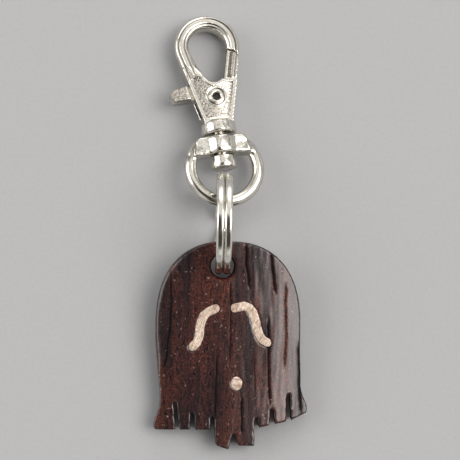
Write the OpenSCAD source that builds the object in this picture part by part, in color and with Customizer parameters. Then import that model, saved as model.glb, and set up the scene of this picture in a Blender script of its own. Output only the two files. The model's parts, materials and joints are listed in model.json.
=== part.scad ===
// Keychain: a carved wooden pendant on a split ring, hung from a swivel snap hook.
// It is drawn lying on a table: +Y runs towards the hook, +Z up, and the table is z = 0.

/* [Pendant] */
// Width of the wooden plate at its widest, below the dome
plate_w = 29; // [24:0.5:40]
// Thickness of the plate at its middle
plate_t = 4.8; // [3.6:0.2:6]
// Height of the domed top, from its crown down to where the sides begin
dome_h = 16.9; // [14:0.1:24]
// Exponent of the dome's curve: 2 is an ellipse, more is squarer
dome_power = 2.4; // [1.8:0.05:3]
// Height of the sides, from the dome down to the tips of the left teeth
side_h = 20.8; // [20:0.5:32]
// Radius of the gently rounded front face
face_r = 80; // [40:5:300]
// How far the left side draws in above the fringe
waist_in = 1.2; // [0:0.1:2]
// How far the right corner flares out at the fringe
flare_out = 1.5; // [0:0.1:2.5]

/* [Pendant hole] */
// Diameter of the hole that the split ring passes through
hole_d = 4.7; // [4.4:0.1:7]
// Depth of the countersink at both ends of the hole
hole_chamfer = 0.6; // [0.3:0.1:0.8]
// Distance from the crown of the dome down to the hole's centre
hole_drop = 5; // [4.8:0.1:8]
// Distance from the plate's middle line left to the hole's centre
hole_left = 1.3; // [0:0.1:4]

/* [Fringe] */
// How much higher the right-hand teeth end than the left-hand teeth
fringe_rise = 3.9; // [0:0.1:5]
// Width of the beard, the middle block of teeth
beard_w = 8; // [6:0.1:12]
// How far the beard hangs below the left teeth
beard_drop = 3.6; // [1:0.1:6]
// Width of a saw cut at its round inner end
cut_w = 0.6; // [0.4:0.05:0.9]

/* [Face inlays] */
// Width of the two bent strips
strip_w = 1.5; // [1:0.1:2.4]
// Depth of the inlay pockets
inlay_depth = 1.2; // [0.6:0.1:1.8]
// Width of the small round inlay
dot_w = 2; // [1.2:0.1:4]
// Height of the small round inlay
dot_h = 2.4; // [1.2:0.1:4]

/* [Split ring] */
// Outer diameter of the split ring
ring_od = 20; // [19:0.5:26]
// Radial depth of the flattened wire
ring_wire = 1.8; // [1.4:0.1:2]
// Thickness of one coil
coil_t = 1.54; // [1.2:0.02:1.6]
// Gap between the two coils
coil_gap = 0.06; // [0.04:0.02:0.2]
// Angle over which the wire crosses from one coil to the other
cross_angle = 34; // [28:1:50]

/* [Swivel eye] */
// Outer diameter of the eye's ring
eye_od = 16.3; // [15:0.1:20]
// Diameter of the eye's wire
eye_wire = 2.5; // [2:0.1:3]
// Diameter of the round boss that the stud passes through
boss_d = 6.6; // [6:0.1:7.2]
// Thickness of the flat shoulders on both sides of the boss
shoulder_t = 4; // [3:0.1:5]
// Width across both shoulders
shoulder_w = 11.4; // [9:0.2:13]
// Length of the boss along the stud
boss_l = 3.8; // [2.4:0.1:4.6]

/* [Swivel stud] */
// Diameter of the stud's shank
stud_d = 2.6; // [2:0.1:3]
// Diameter of the stud's head, inside the eye
head_d = 5.1; // [4:0.1:5.6]
// Length of the stud's head
head_l = 2.6; // [1.5:0.1:3]
// Radial clearance between the shank and the boss's bore
stud_play = 0.05; // [0.02:0.01:0.1]
// Gap between the stud's head and the boss
head_gap = 0.4; // [0.2:0.05:0.8]
// Gap between the boss and the hook's collar
collar_gap = 0.5; // [0.3:0.05:1]

/* [Hook] */
// Diameter of the collar at the hook's foot
collar_d = 7.2; // [6.4:0.1:8]
// Height of the collar
collar_h = 2.8; // [2:0.1:4]
// Width of the hook's body where it meets the collar
neck_w = 6; // [5:0.1:6.4]
// Outer diameter of the hook's loop
loop_d = 13.5; // [12:0.1:18]
// Distance from the collar's top up to the loop's centre
loop_up = 16.1; // [14.5:0.1:24]
// Width of the loop's bar, seen from the front
bar_w = 2.9; // [2.2:0.1:3.4]
// Thickness of the loop's bar, from front to back
bar_t = 3.6; // [2.8:0.1:4]
// Radius of the bar's rounded edges
bar_round = 1.1; // [0.6:0.1:1.3]
// Thickness of the hook's body over both cheeks
body_t = 4.6; // [4.2:0.1:6]
// Width of the slot between the cheeks
slot_t = 2.1; // [1.8:0.1:2.6]
// Width of the raised rims along the cheeks' edges
rim_w = 0.75; // [0.5:0.05:1]
// Depth of the cheeks' sunken web, below the rims
web_sink = 0.35; // [0.1:0.05:0.6]

/* [Gate] */
// Distance from the collar's top up to the rivet
rivet_up = 4.85; // [4.7:0.05:6]
// Width of the gate, seen from the front
gate_w = 2.5; // [1.8:0.1:2.8]
// Thickness of the gate above the cheeks
gate_t = 3.1; // [2.6:0.1:3.6]
// Clearance on each side of the lever, inside the slot
slot_play = 0.15; // [0.05:0.05:0.3]
// Gap between the gate's tip and the hook's nose
nose_gap = 0.2; // [0.1:0.05:0.4]
// Length of the nose's lip, which the gate's tip rests behind
lip = 0.45; // [0.2:0.05:0.8]
// Reach of the thumb tab beyond the cheek's edge
tab_reach = 4; // [3:0.1:6]
// Height of the thumb tab
tab_h = 3; // [2:0.1:3.2]
// Thickness of the thumb tab
tab_t = 2.8; // [2:0.1:4]

/* [Rivet] */
// Outer diameter of the hollow rivet
rivet_d = 2; // [1.8:0.1:2.4]
// Diameter of the hole through the rivet
rivet_bore = 1.45; // [1:0.05:1.5]
// Diameter of the rivet's flared ends
flare_d = 2.9; // [2.6:0.1:3.6]
// Thickness of the rivet's flared ends
flare_t = 0.3; // [0.2:0.05:0.5]
// Radial clearance between the rivet and the lever
rivet_play = 0.05; // [0.02:0.01:0.1]
// Diameter of the boss round the rivet
rivet_boss = 4.2; // [3.8:0.1:4.6]

/* [Gate spring] */
// Diameter of the spring's wire
spring_wire = 0.3; // [0.2:0.02:0.32]
// Number of turns round the rivet
spring_turns = 3; // [2:1:3]

/* [Lying pose] */
// Angle below level at which the eye's wire lies inside the split ring
eye_angle = 37; // [20:1:60]
// Clearance between the eye's wire and the split ring
eye_gap = 0.45; // [0.3:0.05:1]
// Clearance between the split ring and the edges of the pendant's hole
hole_gap = 0.12; // [0.05:0.01:0.2]
// How far right of the split ring the eye's middle lies
eye_right = 1.15; // [-1:0.1:1.5]
// Turn of the hook to the left, seen from above
hook_yaw = 9.1; // [-20:0.1:20]
// Tilt of the hook about its own length, thumb tab up
hook_roll = 7; // [0:0.5:15]
// Shift along X that puts the middle of the whole keychain at x = 0
middle_x = -2.11; // [-10:0.01:10]
// Shift along Y that puts the middle of the whole keychain at y = 0
middle_y = 0.08; // [-20:0.01:20]

/* [Hidden] */
$fn = 64;
over = 1;

// Split ring, seen along its axis
ring_ro = ring_od / 2;
ring_ri = ring_ro - ring_wire;
ring_half = coil_t + coil_gap / 2;

// Clasp frame: u is to the right, v runs along the swivel axis to the crown, w faces the viewer.
// Its origin is the centre of the eye's ring.
eye_mean = (eye_od - eye_wire) / 2;
head_v = -0.3;
boss_v = head_v + head_l + head_gap;
collar_v = boss_v + boss_l + collar_gap;
neck_v = collar_v + collar_h;
loop_r = loop_d / 2;
loop_c = [0, neck_v + loop_up];
inner_r = loop_r - bar_w + 0.1;
bar_mean = loop_r - bar_w / 2;
rivet_c = [0.2, neck_v + rivet_up];
valley_r = 1.9;
valley_c = [0.35, rivet_c[1] + 3.05 + valley_r];
shoulder_v = valley_c[1] - valley_r + 0.6;
slot_floor = neck_v + 1.1;
slot_top = shoulder_v - 0.2;
lever_t = slot_t - 2 * slot_play;

// The cheeks' edges lean out from the neck and touch the loop's circle
neck_far = norm([neck_w / 2, loop_up]);
edge_lean = asin(loop_r / neck_far) - atan2(neck_w / 2, loop_up);
edge_len = sqrt(neck_far * neck_far - loop_r * loop_r);

// The nose ends in an arc about the rivet, so that the gate's tip can swing past it
tip_r = norm(loop_c - rivet_c + [bar_mean * cos(16), -bar_mean * sin(16)]) - nose_gap;

// Heights at which the pieces lie: the split ring stands on the table
wire_from_ring = ring_ri - eye_wire / 2 - eye_gap;
wire_y = wire_from_ring * cos(eye_angle);
wire_z = ring_ro - wire_from_ring * sin(eye_angle);
hook_arm = loop_c[1] + eye_mean;
hook_pitch = hook_settled(0, 12);

// The pendant leans on the ring and its beard touches the table
hole_reach = sqrt(pow(hole_d / 2, 2) - ring_half * ring_half) - hole_gap;
hole_along = ring_ro - hole_reach;
hole_depth = plate_t / 2 - hole_chamfer;
hole_across = sqrt(ring_ri * ring_ri - pow(hole_along - hole_reach, 2)) - hole_depth;
beard_y = -(dome_h + side_h - hole_drop + beard_drop);
lean_long = hole_along - beard_y;
lean_short = hole_across + plate_t / 2;
pendant_pitch = asin(ring_ro / norm([lean_long, lean_short])) - atan2(lean_short, lean_long);

// Pitch at which the underside of the loop, rolled, just touches the table
function hook_settled(pitch, steps) = steps == 0 ? pitch : hook_settled(
    asin((wire_z - bar_t / 2 - 0.05 - bar_mean * norm([sin(pitch), sin(hook_roll)])) / hook_arm),
    steps - 1);

// Point of a cubic curve with four control points
function bezier(p, t) = pow(1 - t, 3) * p[0] + 3 * pow(1 - t, 2) * t * p[1]
    + 3 * (1 - t) * t * t * p[2] + t * t * t * p[3];

function curve(p, steps) = [for (i = [0 : steps]) bezier(p, i / steps)];

// Point of the dome's curve, from 0 on the right to 180 on the left
function dome_point(angle) = let (
    c = cos(angle),
    s = sin(angle)
) [
    plate_w / 2 * sign(c) * pow(abs(c), 2 / dome_power),
    dome_h * pow(abs(s), 2 / dome_power)
];

// Four corners of the band that joins two circles along their outer tangents
function tangent_band(c1, r1, c2, r2) = let (
    line = c2 - c1,
    heading = atan2(line[1], line[0]),
    spread = acos((r1 - r2) / norm(line)),
    side = function (c, r, turn) c + r * [cos(heading + turn), sin(heading + turn)]
) [side(c1, r1, spread), side(c2, r2, spread), side(c2, r2, -spread), side(c1, r1, -spread)];

function polar(centre, r, angle) = centre + r * [cos(angle), sin(angle)];

// ---- Places ----

module at_ring() {
    translate([middle_x, middle_y, ring_ro]) children();
}

module at_clasp() {
    translate([middle_x + eye_right, middle_y + wire_y, wire_z])
        rotate([0, 0, hook_yaw])
            rotate([-hook_pitch, 0, 0])
                rotate([0, hook_roll, 0])
                    translate([0, eye_mean, 0]) children();
}

module at_pendant() {
    at_ring()
        rotate([pendant_pitch, 0, 0])
            translate([0, -hole_along, -hole_across]) children();
}

// Plate frame: x = 0 is the plate's middle line and y = 0 the height of the hole
module at_plate() {
    at_pendant() translate([hole_left, 0, 0]) children();
}

// ---- Shapes used more than once ----

module slab(t) {
    linear_extrude(height = t, center = true) children();
}

// Rectangle with rounded corners, centred
module rounded(size, r) {
    square([size[0] - 2 * r, size[1]], center = true);
    square([size[0], size[1] - 2 * r], center = true);
    for (x = [-1, 1], y = [-1, 1])
        translate([x * (size[0] / 2 - r), y * (size[1] / 2 - r)]) circle(r);
}

// Round-ended ribbon that follows a list of points
module stroke(points, width) {
    last = len(points) - 1;
    r = width / 2;
    heading = function (i) let (d = points[min(i + 1, last)] - points[max(i - 1, 0)])
        atan2(d[1], d[0]);
    polygon(concat(
        [for (i = [0 : last]) polar(points[i], r, heading(i) + 90)],
        [for (a = [60 : -30 : -60]) polar(points[last], r, heading(last) + a)],
        [for (i = [last : -1 : 0]) polar(points[i], r, heading(i) - 90)],
        [for (a = [-120 : -30 : -240]) polar(points[0], r, heading(0) + a)]
    ));
}

// Solid of revolution about the clasp's own axis, from a profile of [radius, v] points
module turned(profile) {
    rotate([-90, 0, 0]) mirror([0, 0, 1]) mirror([0, 1, 0])
        rotate_extrude() polygon([for (p = profile) [p[0], -p[1]]]);
}

// ---- Hook ----

// Frame along the right cheek edge: y runs up the edge and -x goes into the body
module at_edge() {
    translate([neck_w / 2, neck_v]) rotate(-edge_lean) children();
}

module opening_2d() {
    translate(loop_c) circle(inner_r);
    translate(valley_c) circle(valley_r);
    polygon(tangent_band(loop_c, inner_r, valley_c, valley_r));
}

module cheek_outline_2d(inset, top = loop_c[1] - 4.4) {
    foot = neck_w / 2 - inset;
    wide = foot + (top - neck_v) * tan(edge_lean);
    polygon([[-foot, neck_v - 0.6], [foot, neck_v - 0.6], [foot, neck_v],
             [wide, top], [-wide, top], [-foot, neck_v]]);
}

module gate_window_2d() {
    translate([valley_c[0], shoulder_v]) square([loop_d, loop_d]);
}

module cheeks_2d() {
    difference() {
        cheek_outline_2d(0);
        opening_2d();
        gate_window_2d();
    }
}

module web_2d() {
    difference() {
        cheek_outline_2d(rim_w);
        translate([-loop_d, neck_v - over]) square([2 * loop_d, over + 0.4]);
        translate([valley_c[0], shoulder_v - rim_w]) square([loop_d, loop_d]);
        translate(valley_c) circle(valley_r + rim_w);
        translate([-loop_d, slot_top + 1]) square([2 * loop_d, loop_d]);
        translate(rivet_c) circle(d = rivet_boss);
    }
}

// Room for the lever between the cheeks: open to the left, to the opening and to the gate
module slot_2d() {
    wall = 1;
    wall_top = rivet_c[1] + 0.4;
    inner = function (v) neck_w / 2 + (v - neck_v) * tan(edge_lean) - wall;
    polygon([
        [-loop_d, slot_floor], [inner(slot_floor), slot_floor], [inner(wall_top), wall_top],
        [loop_d, wall_top], [loop_d, loop_c[1]], [valley_c[0], loop_c[1]],
        [valley_c[0], slot_top], [-loop_d, slot_top]
    ]);
}

// Side view of the body: it thins from the cheeks to the loop's bar
module body_side() {
    thin = bar_t / 2;
    thick = body_t / 2;
    rotate([90, 0, 90]) linear_extrude(height = 2 * loop_d, center = true)
        polygon([[neck_v - over, -thick], [slot_top, -thick], [loop_c[1] - 4, -thin],
                 [loop_c[1] - 4, thin], [slot_top, thick], [neck_v - over, thick]]);
}

module cheeks() {
    difference() {
        intersection() {
            slab(body_t) cheeks_2d();
            body_side();
        }
        slab(slot_t) slot_2d();
        for (side = [-1, 1])
            translate([0, 0, side * body_t / 2]) slab(2 * web_sink) web_2d();
    }
}

// Space swept by the gate's tip: an arc about the rivet, shorter behind the nose's lip
module nose_cut_2d(gap) {
    intersection() {
        union() {
            translate(rivet_c) circle(tip_r + gap - lip);
            intersection() {
                translate(rivet_c) circle(tip_r + gap);
                translate(loop_c) circle(loop_r - 0.4 - (nose_gap - gap) / 2);
            }
        }
        translate([1, neck_v]) square([loop_d, loop_d + loop_up]);
    }
}

module loop_bar() {
    difference() {
        translate([loop_c[0], loop_c[1], 0])
            rotate_extrude(angle = 205 + edge_lean, start = -25)
                translate([bar_mean, 0]) rounded([bar_w, bar_t], bar_round);
        slab(bar_t + over) nose_cut_2d(nose_gap);
    }
    // A thinner fillet widens the straight bar towards the opening
    slab(bar_t - 0.9) difference() {
        cheek_outline_2d(1.2, loop_c[1] - 1.2);
        opening_2d();
        translate([0, neck_v - over]) square([loop_d, loop_d + loop_up]);
        translate([-loop_d, neck_v - 1]) square([2 * loop_d, slot_top + 1.4 - neck_v]);
    }
    // The straight bar, a hair thinner, runs down from inside the loop into the left cheek
    hair = 0.03;
    mirror([1, 0, 0]) translate([neck_w / 2, neck_v, 0]) rotate([0, 0, -edge_lean])
        translate([-bar_w / 2, edge_len + 0.7, 0]) rotate([90, 0, 0])
            linear_extrude(height = edge_len - 8.5)
                rounded([bar_w - 2 * hair, bar_t - 2 * hair], bar_round);
}

module collar() {
    r = collar_d / 2;
    bevel = 0.35;
    turned([[0, collar_v], [r - bevel, collar_v], [r, collar_v + bevel],
            [r, neck_v - 2 * bevel], [r - 2 * bevel, neck_v], [0, neck_v]]);
}

module hook_body() {
    color("gainsboro") at_clasp() difference() {
        union() {
            cheeks();
            loop_bar();
            collar();
        }
        slab(slot_t) intersection() {
            slot_2d();
            translate([-loop_d, slot_floor]) square([loop_d, slot_top - slot_floor]);
        }
        translate([rivet_c[0], rivet_c[1], 0]) cylinder(h = 2 * body_t, d = rivet_d, center = true);
        translate([0, collar_v - over, 0]) rotate([-90, 0, 0])
            cylinder(h = over + stud_socket(), d = stud_d);
    }
}

function stud_socket() = collar_h - 0.6;

// ---- Gate ----

module gate_strip_2d(low) {
    intersection() {
        at_edge() translate([-gate_w - nose_gap / 2, low - neck_v]) square([gate_w, loop_d]);
        nose_cut_2d(0);
    }
}

module lever_plate_2d() {
    hub = rivet_boss / 2 - 0.1;
    left_edge = -neck_w / 2 - (shoulder_v - neck_v) * tan(edge_lean);
    translate(rivet_c) circle(hub);
    gate_strip_2d(shoulder_v - 0.4);
    // The blade runs up to the gate and the arm runs out to the thumb tab
    polygon([
        polar(rivet_c, hub, 140), polar(rivet_c, hub, -20),
        edge_point(nose_gap / 2, shoulder_v - neck_v + 0.4),
        edge_point(nose_gap / 2 + gate_w, shoulder_v - neck_v + 0.4)
    ]);
    polygon([
        polar(rivet_c, hub, 110), [left_edge - 0.6, slot_top - 0.3],
        [left_edge + 0.2, slot_top - 0.3 - tab_h], polar(rivet_c, hub, 235)
    ]);
}

// Point near the right cheek edge, a distance in from it and a distance up it
function edge_point(inward, up) = [
    neck_w / 2 - inward * cos(edge_lean) + up * sin(edge_lean),
    neck_v + inward * sin(edge_lean) + up * cos(edge_lean)
];

module tab_2d(height) {
    left_edge = -neck_w / 2 - (shoulder_v - neck_v) * tan(edge_lean);
    top = slot_top - 0.3;
    root = left_edge - 0.15;
    tip = left_edge - tab_reach;
    polygon([
        [root + 0.35, top - tab_h], [root + 0.35, top - tab_h + 0.1],
        [root - 0.1 + 0.45 * (1 - height / tab_h), top - tab_h + height],
        [tip + 0.9, top - tab_h + min(height, tab_h - 0.7)],
        [tip, top - tab_h + min(height, tab_h * 0.5)],
        [tip + 0.9, top - tab_h - 0.2]
    ]);
}

module gate_lever() {
    color("silver") at_clasp() difference() {
        union() {
            slab(lever_t) lever_plate_2d();
            slab(gate_t) intersection() {
                gate_strip_2d(shoulder_v);
                translate([0, shoulder_v + 0.25]) square([loop_d, loop_d]);
            }
            slab(tab_t) tab_2d(tab_h);
            slab(tab_t + 0.7) tab_2d(0.8);
        }
        translate([rivet_c[0], rivet_c[1], 0])
            cylinder(h = 2 * body_t, r = rivet_d / 2 + rivet_play, center = true);
        // The spring's pocket takes the front half of the hub
        translate([rivet_c[0], rivet_c[1], 0]) cylinder(h = lever_t, r = rivet_boss / 2);
    }
}

// ---- Spring, rivet and stud ----

function spring_r() = rivet_d / 2 + rivet_play + 0.1 + spring_wire;

module gate_spring() {
    mean = spring_r() - spring_wire / 2;
    pitch = 0.8 * spring_wire;
    low = 0.04 + spring_wire / 2;
    high = low + (spring_turns - 1) * pitch;
    color("dimgray") at_clasp() translate([rivet_c[0], rivet_c[1], 0]) {
        rotate_extrude() for (i = [0 : spring_turns - 1])
            translate([mean, low + i * pitch]) circle(d = spring_wire, $fn = 24);
        // One leg pushes on the lever's arm and the other bears on the cheeks' right wall
        for (leg = [[240, low], [300, high]])
            translate([0, 0, leg[1]]) rotate([0, 90, leg[0]]) translate([0, 0, mean])
                cylinder(h = 1.7, d = 0.8 * spring_wire, $fn = 24);
    }
}

module pivot_rivet() {
    color("whitesmoke") at_clasp() translate([rivet_c[0], rivet_c[1], 0]) difference() {
        union() {
            cylinder(h = body_t, d = rivet_d, center = true);
            for (side = [0, 1]) mirror([0, 0, side]) translate([0, 0, body_t / 2]) {
                cylinder(h = flare_t / 2, d = flare_d);
                translate([0, 0, flare_t / 2])
                    cylinder(h = flare_t / 2, d1 = flare_d, d2 = flare_d - flare_t);
            }
        }
        cylinder(h = 2 * body_t, d = rivet_bore, center = true);
        for (side = [0, 1]) mirror([0, 0, side])
            translate([0, 0, body_t / 2 + flare_t - 0.25])
                cylinder(h = 0.3, d1 = rivet_bore, d2 = rivet_bore + 0.6);
    }
}

module swivel_stud() {
    bevel = 0.4;
    r = head_d / 2;
    color("silver") at_clasp()
        turned([[0, head_v], [r - bevel, head_v], [r, head_v + bevel], [r, head_v + head_l],
                [stud_d / 2, head_v + head_l], [stud_d / 2, collar_v + stud_socket()],
                [0, collar_v + stud_socket()]]);
}

// ---- Eye ----

module swivel_eye() {
    boss_top = boss_v + boss_l;
    color("gainsboro") at_clasp() difference() {
        union() {
            difference() {
                rotate_extrude() translate([eye_mean, 0]) circle(d = eye_wire);
                translate([-eye_od / 2, boss_top, -eye_wire]) cube([eye_od, eye_od, 2 * eye_wire]);
            }
            slab(shoulder_t) intersection() {
                circle(d = eye_od - 0.5);
                polygon([[-shoulder_w / 2, boss_v], [shoulder_w / 2, boss_v],
                         [shoulder_w / 2 - 0.5, boss_top], [0.5 - shoulder_w / 2, boss_top]]);
            }
            turned([[0, boss_v], [boss_d / 2 - 0.3, boss_v], [boss_d / 2, boss_v + 0.4],
                    [boss_d / 2, boss_top - 0.4], [boss_d / 2 - 0.3, boss_top], [0, boss_top]]);
        }
        translate([0, boss_v - over, 0]) rotate([-90, 0, 0])
            cylinder(h = boss_l + 2 * over, r = stud_d / 2 + stud_play);
    }
}

// ---- Split ring ----

// One arc of the ring's wire about the x axis: 0 points down and angles run towards +y
module wire_arc(from, sweep) {
    rotate([0, 90, 0]) rotate_extrude(angle = sweep, start = from)
        translate([ring_ro - ring_wire / 2, 0]) rounded([ring_wire, coil_t], 0.45);
}

module split_ring() {
    half = cross_angle / 2;
    pitch = coil_t + coil_gap;
    tilt = asin(pitch / 2 / ((ring_ro - ring_wire / 2) * sin(half)));
    color("silver") at_ring() {
        for (side = [-1, 1]) translate([side * pitch / 2, 0, 0]) wire_arc(half, 360 - cross_angle);
        // The crossing is a tilted arc that leaves one coil and meets the other
        rotate([0, 0, tilt]) wire_arc(-half - 1, cross_angle + 2);
    }
}

// ---- Pendant ----

teeth_y = -(dome_h + side_h - hole_drop);
dome_y = hole_drop - dome_h;

// Left side, going down: it draws in to a waist and flares to the corner tooth
function left_side() = let (x = -plate_w / 2) concat(
    curve([[x, dome_y], [x, dome_y - 7], [x + 1.4 * waist_in, teeth_y + 8],
           [x + waist_in, teeth_y + 5]], 10),
    curve([[x + waist_in, teeth_y + 5], [x + 0.7 * waist_in, teeth_y + 3],
           [x - 0.5, teeth_y + 1], [x + 0.4, teeth_y]], 6));

// Right side, going up from the corner tooth
function right_side() = let (x = plate_w / 2, low = teeth_y + fringe_rise) concat(
    curve([[x + flare_out, low], [x + flare_out + 0.6, low + 1.8],
           [x + 0.3, low + 3], [x + 0.2, low + 5.5]], 6),
    curve([[x + 0.2, low + 5.5], [x + 0.2, low + 10], [x, dome_y - 6], [x, dome_y]], 8));

module plate_2d() {
    polygon(concat(
        [for (a = [4 : 4 : 176]) dome_point(a) + [0, dome_y]],
        left_side(),
        [[beard_x() - beard_w / 2, teeth_y + 0.3], [beard_x() + beard_w / 2, teeth_y + 0.6],
         [plate_w / 2 - 1.5, teeth_y + 0.6 * fringe_rise]],
        right_side()
    ));
}

function beard_x() = 1.7;

module beard_2d() {
    left = beard_x() - beard_w / 2;
    right = beard_x() + beard_w / 2;
    polygon([
        [left - 0.2, teeth_y + 3], [left + 0.25, beard_y + 1.3], [left + 0.6, beard_y + 0.7],
        [beard_x() - 1.2, beard_y], [beard_x() - 0.4, beard_y + 0.8],
        [beard_x() + 1.2, beard_y + 0.8], [right, beard_y + 0.8], [right, teeth_y + 3]
    ]);
}

// A saw cut: a round inner end that widens to its mouth
module saw_cut_2d(top, mouth, mouth_w) {
    polygon([
        [top[0] - cut_w / 2, top[1]], [mouth[0] - mouth_w / 2, mouth[1]],
        [mouth[0] + mouth_w / 2, mouth[1]], [top[0] + cut_w / 2, top[1]]
    ]);
    translate(top) circle(d = cut_w);
}

module fringe_cuts_2d() {
    left = -plate_w / 2;
    right = plate_w / 2;
    low = teeth_y - 0.6;
    beard_l = beard_x() - beard_w / 2;
    beard_r = beard_x() + beard_w / 2;
    saw_cut_2d([left + 4.3, teeth_y + 5.4], [left + 5, low], 0.85);
    saw_cut_2d([left + 7.8, teeth_y + 3.3], [left + 7.9, low], 1.2);
    saw_cut_2d([beard_l - 0.4, teeth_y + 2.6], [beard_l - 0.3, low], 0.9);
    saw_cut_2d([beard_r + 0.3, teeth_y + 2.5], [beard_r + 0.45, low], 1.1);
    saw_cut_2d([right - 5.4, teeth_y + 4.3], [right - 5.3, teeth_y - 0.2], 1.4);
    saw_cut_2d([right - 2.2, teeth_y + 7.3], [right - 2, teeth_y + 0.6], 1.1);
    saw_cut_2d([beard_x() - 0.1, beard_y + 2.9], [beard_x(), beard_y - 0.4], 2.4);
}

// Large cylinder whose top is the plate's gently rounded front
module crown() {
    translate([0, 0, plate_t / 2 - face_r]) rotate([90, 0, 0])
        cylinder(h = 6 * plate_w, r = face_r, center = true, $fn = 512);
}

// Plate with its rounded front, as it is before the hole and the pockets
module blank() {
    intersection() {
        slab(plate_t) difference() {
            union() {
                plate_2d();
                beard_2d();
            }
            fringe_cuts_2d();
        }
        crown();
    }
}

module left_strip_2d() {
    stroke(curve([[-2.6, -8.5], [-7.2, -9.8], [-4.3, -14.4], [-6.9, -16.1]], 8), strip_w);
}

module right_strip_2d() {
    stroke(curve([[1.3, -8.3], [6.8, -5.7], [4.5, -14.4], [7.8, -15]], 8), strip_w);
}

module dot_2d() {
    polygon([for (a = [0 : 15 : 345]) [2 + dot_w / 2 * cos(a), -23.2 + dot_h / 2 * sin(a)]]);
}

// Everything of the plate's front, down to the pocket floor
module pocket(t = inlay_depth) {
    translate([0, 0, plate_t / 2 - t]) linear_extrude(height = t + over) children();
}

module pendant() {
    color([0.2, 0.1, 0.09]) at_plate() difference() {
        blank();
        translate([-hole_left, 0, 0]) {
            cylinder(h = 2 * plate_t, d = hole_d, center = true);
            for (side = [0, 1]) mirror([0, 0, side]) translate([0, 0, hole_depth])
                cylinder(h = 2 * hole_chamfer, d1 = hole_d, d2 = hole_d + 4 * hole_chamfer);
        }
        pocket() left_strip_2d();
        pocket() right_strip_2d();
        pocket() dot_2d();
    }
}

module inlay() {
    color([0.83, 0.67, 0.6]) at_plate() intersection() {
        pocket() children();
        crown();
    }
}

module inlay_left() {
    inlay() left_strip_2d();
}

module inlay_right() {
    inlay() right_strip_2d();
}

module inlay_dot() {
    inlay() dot_2d();
}

hook_body();
gate_lever();
gate_spring();
pivot_rivet();
swivel_stud();
swivel_eye();
split_ring();
pendant();
inlay_left();
inlay_right();
inlay_dot();
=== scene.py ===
"""Looks of a keychain: a carved wooden pendant on a split ring, hung from a swivel snap hook.

Every piece is shaped in millimetres in its own working frame and stored in metres in the
model's frame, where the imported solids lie.
"""

import json
import logging
import math
from dataclasses import dataclass, field
from enum import Enum
from typing import Optional, Sequence, Union

import bpy
import numpy as np
from mathutils import Matrix, Vector, noise


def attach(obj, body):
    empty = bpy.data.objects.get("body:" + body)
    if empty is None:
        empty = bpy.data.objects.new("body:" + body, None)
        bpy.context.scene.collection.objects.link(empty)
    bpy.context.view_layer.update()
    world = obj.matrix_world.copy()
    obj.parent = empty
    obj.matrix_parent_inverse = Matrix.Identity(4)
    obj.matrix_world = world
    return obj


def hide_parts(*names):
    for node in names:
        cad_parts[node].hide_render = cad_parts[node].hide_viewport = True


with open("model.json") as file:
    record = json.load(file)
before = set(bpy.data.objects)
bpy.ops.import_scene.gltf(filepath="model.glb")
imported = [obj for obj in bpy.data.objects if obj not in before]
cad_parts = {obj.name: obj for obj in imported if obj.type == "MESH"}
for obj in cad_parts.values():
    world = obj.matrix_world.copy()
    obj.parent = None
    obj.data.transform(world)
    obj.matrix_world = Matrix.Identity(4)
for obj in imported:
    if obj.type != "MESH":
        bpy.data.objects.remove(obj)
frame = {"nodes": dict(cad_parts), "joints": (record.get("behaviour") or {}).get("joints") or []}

Socket = bpy.types.NodeSocket
Value = Union[float, tuple, Socket]
LOG = logging.getLogger("keychain")
MM = 0.001
WELD_GAP = 0.002
LEG_SHARE = 0.045
PER_MM = (1 / MM,) * 3
PAINTED_GLINT = (0.4, 0.3, 0.27, 1)
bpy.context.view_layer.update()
JOINTS = {joint["name"]: joint for joint in frame["joints"]}


class Along(Enum):
    """Directions in which a wooden piece's fibres can run, as turns about its face, in degrees."""

    LENGTH = 0.0
    LEANING = 24.0
    ACROSS = 90.0


# ---- Shapes ----


def unit(vector: Sequence[float]) -> np.ndarray:
    """Returns the vector scaled to length one."""
    array = np.asarray(vector, float)
    return array / np.linalg.norm(array)


def smooth(low: float, high: float, value: np.ndarray) -> np.ndarray:
    """Eases from 0 to 1.

    Args:
        low: Value at which the result is 0.
        high: Value at which the result is 1.
        value: Where to read it.

    Returns:
        Numbers from 0 to 1, one for each value.
    """
    t = np.clip((value - low) / (high - low), 0, 1)
    return t * t * (3 - 2 * t)


def between(value: np.ndarray, low: float, rising: float, falling: float, high: float) -> np.ndarray:
    """Returns 1 from rising to falling, easing to 0 at low and at high."""
    return smooth(low, rising, value) * (1 - smooth(falling, high, value))


def bell(offset: np.ndarray, width: float) -> np.ndarray:
    """Returns a bump of height 1 and the given half width about an offset of 0."""
    return np.exp(-((offset / width) ** 2))


def rough(points: np.ndarray, size: float, seed: float = 0.0, stretch: tuple = (1, 1, 1)) -> np.ndarray:
    """Reads a smooth random field.

    Args:
        points: Points in millimetres, one a row.
        size: Size of one lump, in millimetres.
        seed: Shifts the field, so that two fields differ.
        stretch: How many times longer the lumps are along each axis.

    Returns:
        Numbers from about -1 to 1, one for each point.
    """
    scaled = points / (size * np.asarray(stretch, float)) + seed * 17.31
    return np.fromiter((noise.noise(Vector(p)) for p in scaled), float, len(scaled))


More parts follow.
